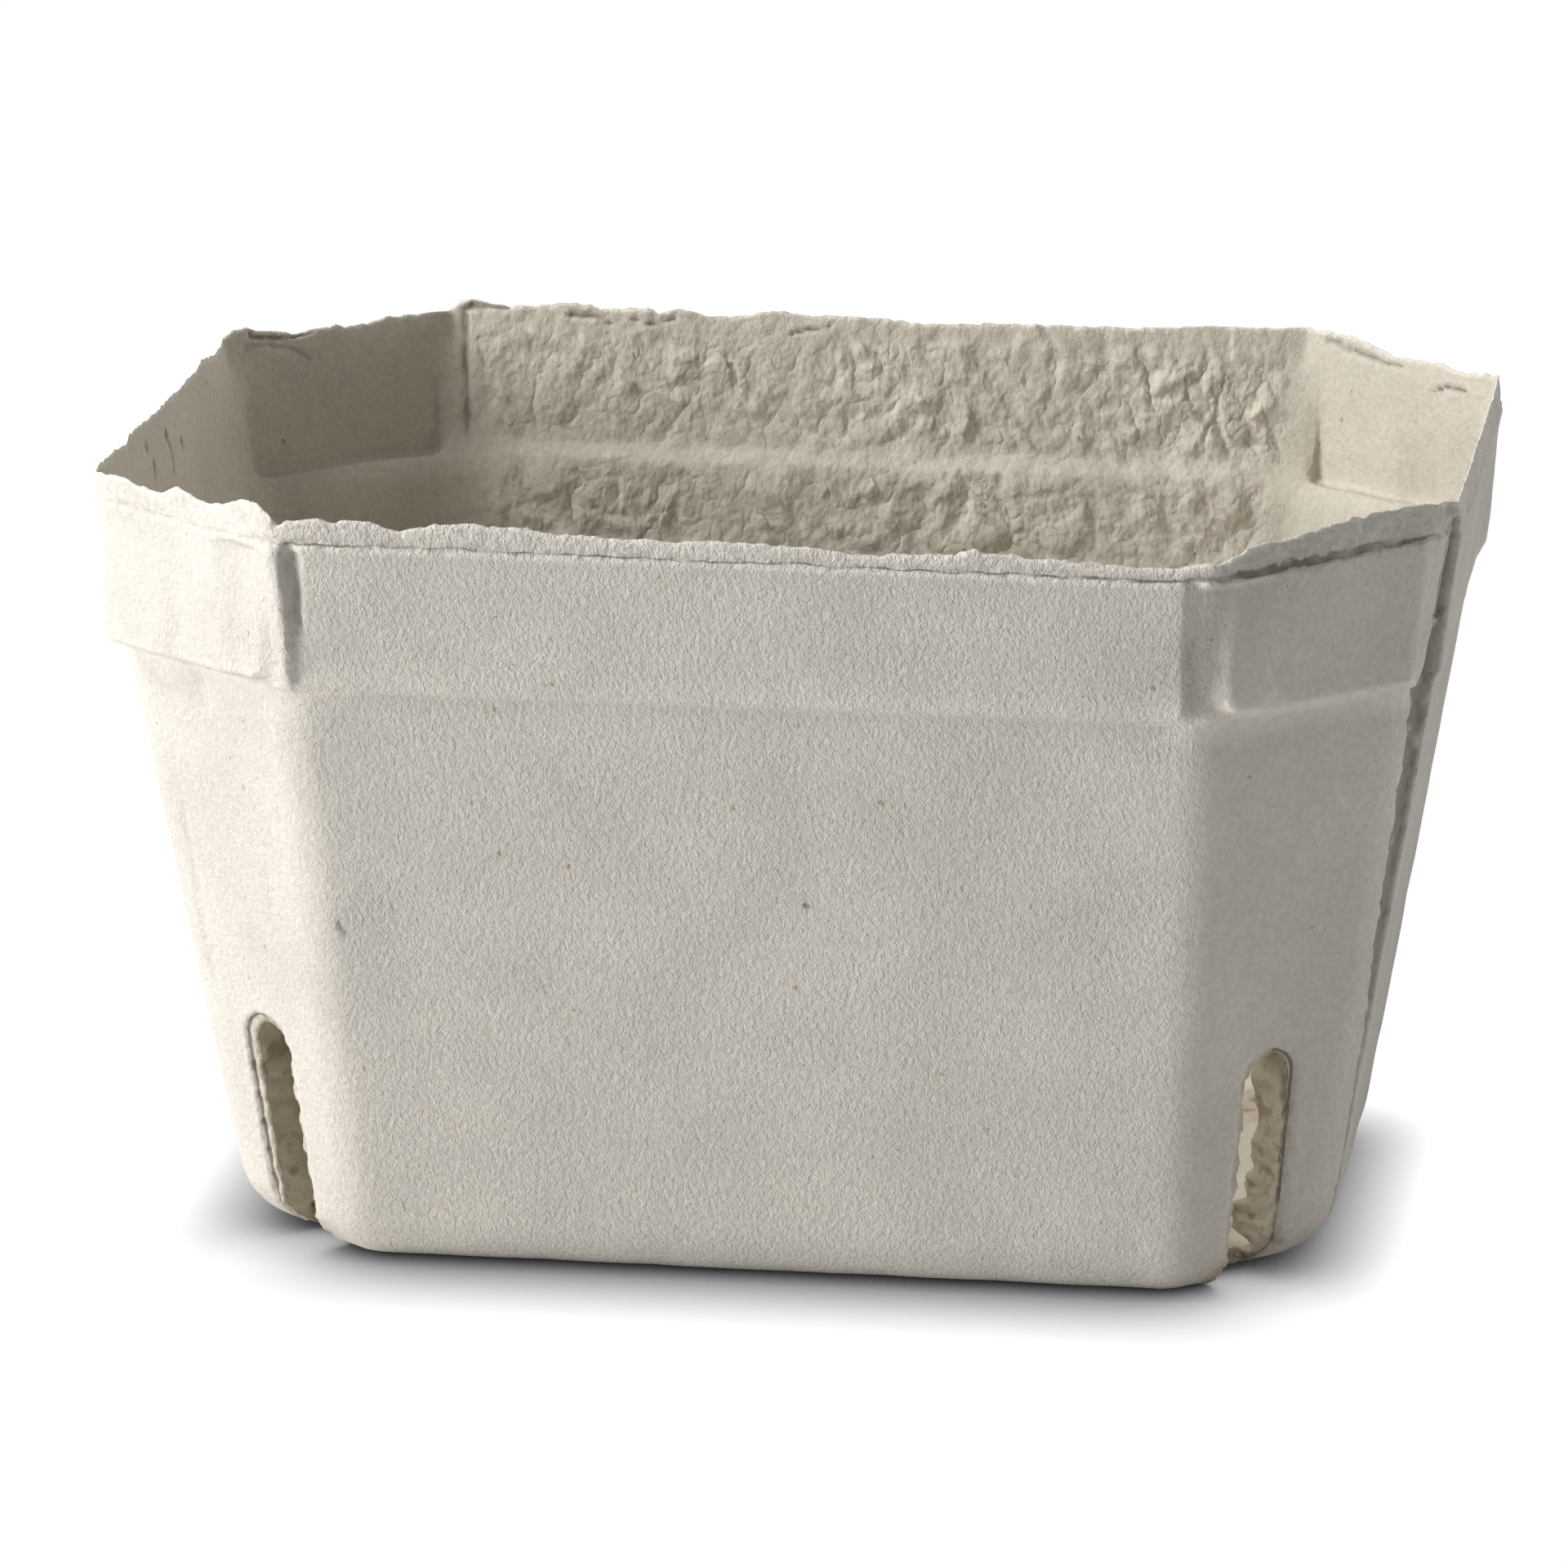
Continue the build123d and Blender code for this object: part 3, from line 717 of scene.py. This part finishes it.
def torn_colour(tree, colours, colour, felt):
    """Adds the pitted outside of the torn strip and the pale fibres along its edge."""
    below = attribute(tree, (-1800, 900), "below")
    fray = pattern(tree, (-1800, 1100), 1100, 3)
    fray = ramp(tree, (-1600, 1100), fray, 0.3, 0.7, -0.45, 0.45)
    lip = ramp(tree, (-1400, 900), maths(tree, (-1600, 900), "ADD", below, fray), 0.25, 0.5, 0.75, 0.0)
    strip = ramp(tree, (-1400, 1300), below, 3.0, 4.5, 1.0, 0.0)
    strip = maths(tree, (-1200, 1300), "MULTIPLY", strip, maths(tree, (-1400, 1500), "SUBTRACT", 1.0, felt))
    pits = ramp(tree, (-1600, 1300), pattern(tree, (-1800, 1300), 900, 4), 0.42, 0.56, 0.90, 1.02)
    pitted = mix(tree, (-400, 700), "MULTIPLY", 1.0, colour, pits)
    colour = mix(tree, (-200, 500), "MIX", strip, colour, pitted)
    return mix(tree, (0, 500), "MIX", lip, colour, colours.torn_edge_and_highlight)


def crease_colour(tree, colours, colour):
    """Paints shade into the wavering crease under the torn strip and a highlight on the bead below it."""
    crease = attribute(tree, (-1800, 1700), "crease")
    gash = attribute(tree, (-1800, 1900), "gash")
    waver = ramp(tree, (-1600, 2100), pattern(tree, (-1800, 2100), 300, 4), 0.3, 0.7, -0.9, 0.9)
    waver = maths(tree, (-1400, 2100), "MULTIPLY", waver, maths(tree, (-1600, 1900), "ADD", gash, 0.1))
    distance = maths(tree, (-1200, 1700), "ABSOLUTE", maths(tree, (-1400, 1700), "ADD", crease, waver))
    # Painted shade: the crease is darkened towards the crack shade colour, broken up by a noise pattern.
    dark = ramp(tree, (-800, 1700), maths(tree, (-1000, 1700), "SUBTRACT", distance, gash), -0.06, 0.05, 0.62, 0.0)
    dark = maths(tree, (-600, 1700), "MULTIPLY", dark, ramp(tree, (-800, 1900), gash, 0.05, 0.12))
    gaps = ramp(tree, (-600, 1900), pattern(tree, (-800, 2000), 260, 3), 0.38, 0.58, 0.45, 1.35)
    dark = maths(tree, (-400, 1700), "MULTIPLY", dark, gaps)
    colour = mix(tree, (200, 500), "MIX", dark, colour, colours.crack)
    # Painted highlight: the bead below the crease is lightened towards the pale torn edge colour.
    bead = maths(tree, (-800, 2100), "ABSOLUTE", maths(tree, (-1000, 2100), "ADD", crease, 0.75))
    bead = ramp(tree, (-600, 2100), bead, 0.15, 0.45, 0.35, 0.0)
    bead = maths(tree, (-400, 2100), "MULTIPLY", bead, ramp(tree, (-800, 2300), gash, 0.05, 0.12))
    return mix(tree, (300, 500), "MIX", bead, colour, colours.torn_edge_and_highlight)


def band_colour(tree, colour):
    """Paints shade into the valleys beside the pads and a highlight on the foot of the band."""
    # Painted shade: the valleys beside the pads are darkened.
    shade = ramp(tree, (-1600, 3300), attribute(tree, (-1800, 3300), "valley"), 0.3, 1.0, 1.0, 0.84)
    colour = mix(tree, (350, 500), "MULTIPLY", 1.0, colour, shade)
    # Painted highlight: the foot of the band is lightened.
    light = ramp(tree, (-1600, 3500), attribute(tree, (-1800, 3500), "ledge"), 0.0, 1.0, 1.0, 1.25)
    return mix(tree, (375, 500), "MULTIPLY", 1.0, colour, light)


def vent_colour(tree, colours, colour):
    """Adds the insides of the vents in a darker, mottled brown that is partly the pulp's own colour and partly painted
    shade, and paints shade into the broken frame lines round them and into the cracks.
    """
    vent = attribute(tree, (-1800, 2500), "vent")
    patch = ramp(tree, (-1600, 2300), pattern(tree, (-1800, 2300), 300, 4), 0.51, 0.60, 0.0, 0.8)
    # The vents' insides: partly the pulp's own brown, partly painted shade.
    inside = mix(tree, (200, 900), "MIX", patch, colours.vent_side, colours.brown)
    colour = mix(tree, (400, 500), "MIX", maths(tree, (-1400, 2500), "MULTIPLY", vent, 0.85), colour, inside)
    frame_gap = maths(tree, (-1600, 2700), "ABSOLUTE", attribute(tree, (-1800, 2700), "frame"))
    # Painted shade: the frame lines round the vents are darkened towards the crack shade colour.
    frame_line = ramp(tree, (-1400, 2700), frame_gap, 0.14, 0.30, 0.85, 0.0)
    breaks = ramp(tree, (-1400, 2900), pattern(tree, (-1800, 2900), 210, 2), 0.36, 0.46, 0.4, 1.0)
    frame_line = maths(tree, (-1200, 2700), "MULTIPLY", frame_line, breaks)
    colour = mix(tree, (600, 500), "MIX", frame_line, colour, colours.crack)
    # Painted shade darkens the cracks, the flute and the slit.
    crack = attribute(tree, (-1800, 3100), "crack")
    return mix(tree, (800, 500), "MIX", maths(tree, (-1600, 3100), "MULTIPLY", crack, 0.85), colour, colours.crack)


def pulp_grain(tree):
    """The fine fibres of the pulp and the small folds of its felted side, as a bump."""
    grain = attribute(tree, (-1800, -900), "grain")
    fibres = pattern(tree, (-1800, -700), 1500, 3, stretch=(1, 1, 0.8), turn=(0, radians(20), 0), roughness=0.75)
    height = maths(tree, (-1400, -800), "MULTIPLY", ramp(tree, (-1600, -900), grain, 0, 1, 0.30, 1.0), fibres)
    folds = pattern(tree, (-1800, -1100), 170, 3, stretch=(1, 1, 0.75), turn=(0, radians(25), 0), roughness=0.5)
    folds = maths(tree, (-1600, -1100), "ABSOLUTE", ramp(tree, (-1700, -1100), folds, 0.3, 0.7, -1.0, 1.0))
    wrinkles = maths(tree, (-1600, -1300), "MULTIPLY", attribute(tree, (-1800, -1300), "wrinkles"), 1.3)
    height = maths(tree, (-1200, -900), "ADD", height, maths(tree, (-1400, -1100), "MULTIPLY", folds, wrinkles))
    bump = node(tree, "ShaderNodeBump", (-600, -900))
    bump.inputs["Strength"].default_value = 1.0
    bump.inputs["Distance"].default_value = 0.00060
    tree.links.new(height, bump.inputs["Height"])
    return bump.outputs["Normal"]


def pulp_material(colours):
    """Matt grey-beige pressed pulp, with cloudy patches and pale torn fibres, painted shade in its cracks, creases,
    vent frames and valleys, painted highlights on the bead under the crease and the foot of the band, and brown vents
    that are partly painted shade.
    """
    material = bpy.data.materials.new("Pressed pulp")
    material.use_nodes = True
    tree = material.node_tree
    shader = tree.nodes["Principled BSDF"]
    shader.inputs["Roughness"].default_value = 0.95
    shader.inputs["Specular IOR Level"].default_value = 0.15
    felt = attribute(tree, (-1800, 500), "felt")
    colour = body_colour(tree, colours, felt)
    colour = torn_colour(tree, colours, colour, felt)
    colour = crease_colour(tree, colours, colour)
    colour = band_colour(tree, colour)
    colour = vent_colour(tree, colours, colour)
    tree.links.new(colour, shader.inputs["Base Color"])
    tree.links.new(pulp_grain(tree), shader.inputs["Normal"])
    return material


def apply_modifier(piece, name, kind, **settings):
    """Adds a modifier to the active piece with its settings, and applies it."""
    added = piece.modifiers.new(name, kind)
    for setting, value in settings.items():
        setattr(added, setting, value)
    bpy.ops.object.modifier_apply(modifier=added.name)


def clean_triangles(threshold):
    """Takes slivers out of the active piece and makes all its faces triangles."""
    bpy.ops.object.mode_set(mode="EDIT")
    bpy.ops.mesh.select_all(action="SELECT")
    if threshold:
        bpy.ops.mesh.dissolve_degenerate(threshold=threshold)
    bpy.ops.mesh.quads_convert_to_tris()
    bpy.ops.object.mode_set(mode="OBJECT")


class PUNNET_OT_mould_tub(Operator):
    """Mould the tub's pulp surface over the CAD tub"""

    bl_idname = "punnet.mould_tub"
    bl_label = "Mould tub"

    def execute(self, context):
        scene = context.scene
        sizes = scene.punnet_sizes
        surface = scene.pulp_surface
        bpy.ops.object.select_all(action="DESELECT")
        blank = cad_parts["punnet"]
        tub = bpy.data.objects.new("pulp_tub", blank.data.copy())
        scene.collection.objects.link(tub)
        tub.data.materials.clear()
        context.view_layer.objects.active = tub
        tub.select_set(True)
        bpy.ops.object.mode_set(mode="EDIT")
        bpy.ops.mesh.select_all(action="SELECT")
        bpy.ops.mesh.remove_doubles(threshold=0.00001)
        bpy.ops.object.mode_set(mode="OBJECT")
        grain = surface.voxel * 1
        apply_modifier(tub, "Pulp grain", "REMESH", mode="VOXEL", voxel_size=grain)
        apply_modifier(tub, "Soft edges", "SMOOTH", factor=0.5, iterations=2)
        calm = tub.vertex_groups.new(name="Calm inner corners")
        calm.add(inner_corners(tub.data, sizes).tolist(), 1.0, "REPLACE")
        apply_modifier(tub, "Soft inner corners", "SMOOTH", factor=0.9, iterations=110,
                       vertex_group=calm.name)
        tub.vertex_groups.clear()
        keep = press_pulp(tub.data, sizes, surface)
        fine = tub.vertex_groups.new(name="Fine detail")
        fine.add(np.flatnonzero(keep > 0.5).tolist(), 1.0, "REPLACE")
        clean_triangles(0)
        apply_modifier(tub, "Fewer triangles", "DECIMATE", ratio=min(1, surface.triangles / len(tub.data.polygons)),
                       vertex_group=fine.name, invert_vertex_group=True)
        tub.vertex_groups.clear()
        clean_triangles(0.00005)
        bpy.ops.object.shade_smooth()
        apply_modifier(tub, "Even shading", "WEIGHTED_NORMAL", mode="FACE_AREA")
        tub.data.materials.append(pulp_material(scene.pulp_colours))
        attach(tub, "root")
        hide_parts("punnet")
        return {"FINISHED"}


def stage_material(reach):
    """White card that the camera sees glowing white, with a soft shadow painted round the tub from ambient occlusion
    that reaches further towards the front, and that gives light back as pale card does.
    """
    material = bpy.data.materials.new("White card")
    material.use_nodes = True
    tree = material.node_tree
    shader = tree.nodes["Principled BSDF"]
    shader.inputs["Base Color"].default_value = (0.7, 0.7, 0.7, 1)
    shader.inputs["Roughness"].default_value = 1.0
    shader.inputs["Specular IOR Level"].default_value = 0.0
    near = node(tree, "ShaderNodeAmbientOcclusion", (-600, 300), samples=12)
    place = node(tree, "ShaderNodeTexCoord", (-1200, 300))
    split = node(tree, "ShaderNodeSeparateXYZ", (-1000, 300))
    tree.links.new(place.outputs["Object"], split.inputs[0])
    distance = ramp(tree, (-800, 300), split.outputs["Y"], -0.060, -0.030, reach * 1.5, reach)
    tree.links.new(distance, near.inputs["Distance"])
    # Painted shadow: the glow the camera sees is dimmed where ambient occlusion finds the tub close by.
    shade = maths(tree, (-400, 300), "POWER", near.outputs["AO"], 1.25)
    white = node(tree, "ShaderNodeEmission", (-200, 300))
    tree.links.new(shade, white.inputs["Strength"])
    both = node(tree, "ShaderNodeMixShader", (200, 300))
    tree.links.new(seen_directly(tree, -200), both.inputs[0])
    tree.links.new(shader.outputs[0], both.inputs[1])
    tree.links.new(white.outputs[0], both.inputs[2])
    tree.links.new(both.outputs[0], tree.nodes["Material Output"].inputs["Surface"])
    return material


def seen_directly(tree, across):
    """Is 1 where the camera sees the stage, also in a gloss or through something clear, and else 0."""
    path = node(tree, "ShaderNodeLightPath", (across - 200, 600))
    seen = maths(tree, (across, 600), "MAXIMUM", path.outputs["Is Camera Ray"], path.outputs["Is Glossy Ray"])
    return maths(tree, (across + 200, 600), "MAXIMUM", seen, path.outputs["Is Transmission Ray"])


def add_lamp(name, place, power):
    """A soft square lamp that faces the middle of the tub."""
    lamp = bpy.data.lights.new(name, "AREA")
    lamp.size = LAMP_SIZE
    lamp.energy = power
    holder = bpy.data.objects.new(name, lamp)
    bpy.context.scene.collection.objects.link(holder)
    holder.location = place
    holder.rotation_euler = (Vector(LAMP_TARGET) - Vector(place)).to_track_quat("-Z", "Y").to_euler()


def light_world(scene, strength):
    """Even light from all round, that the camera sees as white."""
    world = bpy.data.worlds.new("Even sky")
    scene.world = world
    world.use_nodes = True
    tree = world.node_tree
    sky = tree.nodes["Background"]
    sky.inputs["Color"].default_value = (1, 1, 1, 1)
    shown = ramp(tree, (-200, 0), seen_directly(tree, -600), 0, 1, strength, 1.0)
    tree.links.new(shown, sky.inputs["Strength"])


def aim_camera(scene, studio):
    """Puts the camera where the photo was taken from."""
    camera = bpy.data.cameras.new("camera")
    camera.lens = studio.lens
    camera.sensor_width = 36.0
    viewer = bpy.data.objects.new("camera", camera)
    scene.collection.objects.link(viewer)
    turn = Matrix.Rotation(studio.yaw, 4, "Z") @ Matrix.Rotation(radians(90) - studio.elevation, 4, "X")
    viewer.matrix_world = Matrix.Translation(studio.eye) @ turn @ Matrix.Rotation(studio.roll, 4, "Z")
    scene.camera = viewer


class PUNNET_OT_set_stage(Operator):
    """Set the floor, the lights and the camera"""

    bl_idname = "punnet.set_stage"
    bl_label = "Set stage"

    def execute(self, context):
        scene = context.scene
        studio = scene.studio_settings
        bpy.ops.object.select_all(action="DESELECT")
        bpy.ops.mesh.primitive_plane_add(size=8.0, location=(0, 0, 0))
        floor = context.active_object
        floor.name = "floor"
        floor.data.materials.append(stage_material(studio.shadow_reach))
        for name, place, power in LAMPS:
            add_lamp(name, place, getattr(studio, power))
        light_world(scene, studio.sky_strength)
        aim_camera(scene, studio)
        scene.view_settings.view_transform = "Standard"
        return {"FINISHED"}


class PUNNET_PT_sidebar(Panel):
    """The punnet's sizes, surface, colours and stage"""

    bl_label = "Pulp punnet"
    bl_idname = "PUNNET_PT_sidebar"
    bl_space_type = "VIEW_3D"
    bl_region_type = "UI"
    bl_category = "Punnet"

    def draw(self, context):
        for name in GROUPS:
            group = getattr(context.scene, name)
            box = self.layout.box()
            for prop in group.__annotations__:
                box.prop(group, prop)
        self.layout.operator("punnet.mould_tub")
        self.layout.operator("punnet.set_stage")


GROUPS = {
    "punnet_sizes": PunnetSizes,
    "pulp_surface": PulpSurface,
    "pulp_colours": PulpColours,
    "studio_settings": StudioSettings,
}
CLASSES = (*GROUPS.values(), PUNNET_OT_mould_tub, PUNNET_OT_set_stage, PUNNET_PT_sidebar)


def register():
    """Adds the classes and the groups of settings to Blender."""
    for each in CLASSES:
        bpy.utils.register_class(each)
    for name, group in GROUPS.items():
        setattr(bpy.types.Scene, name, PointerProperty(type=group))


def unregister():
    """Takes the groups of settings and the classes out of Blender."""
    for name in GROUPS:
        delattr(bpy.types.Scene, name)
    for each in reversed(CLASSES):
        bpy.utils.unregister_class(each)


def main():
    """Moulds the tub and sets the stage."""
    register()
    bpy.ops.punnet.mould_tub()
    bpy.ops.punnet.set_stage()


if __name__ == "__main__":
    main()
